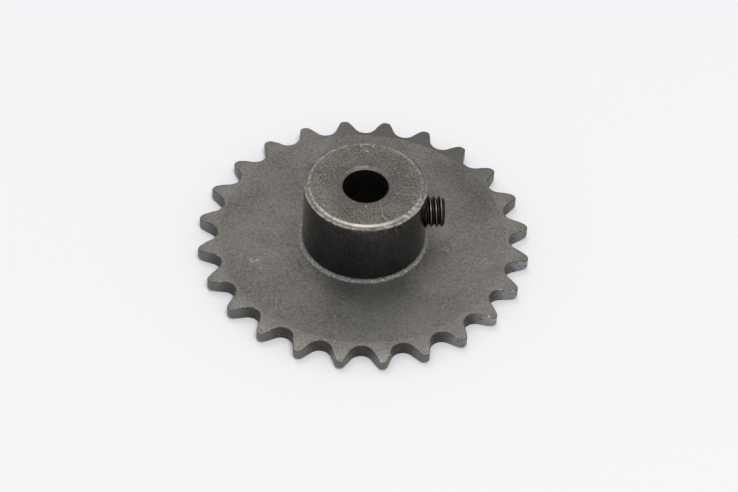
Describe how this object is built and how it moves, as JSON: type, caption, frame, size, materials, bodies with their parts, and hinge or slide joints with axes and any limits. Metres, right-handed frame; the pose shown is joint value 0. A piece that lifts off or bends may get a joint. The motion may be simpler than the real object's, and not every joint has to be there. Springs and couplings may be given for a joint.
{
  "type": "chain sprocket",
  "caption": "Roller chain sprocket with a one-sided hub, a plain bore and a set screw that clamps it to its shaft.",
  "frame": {"origin": "on the bore's axis at the plate's back face", "axes": "+Z along the bore from the plate's back face to the hub's end; +X along the set screw, from the bore outwards"},
  "size_m": [0.0508, 0.0508, 0.0139],
  "materials": {
    "turned_steel": "bare carbon steel, turned and dulled to a grey brown, darker on the hub's side",
    "black_oxide_steel": "alloy steel with a black oxide coat, worn bright on the thread's crests"
  },
  "bodies": {
    "wheel": {"sprocket": "turned_steel"},
    "screw": {"set_screw": "black_oxide_steel"}
  },
  "joints": [
    {"name": "set_screw_travel", "type": "slide", "parent": "wheel", "child": "screw", "axis": [1, 0, 0], "range_m": [-0.004, 0.0035]}
  ]
}
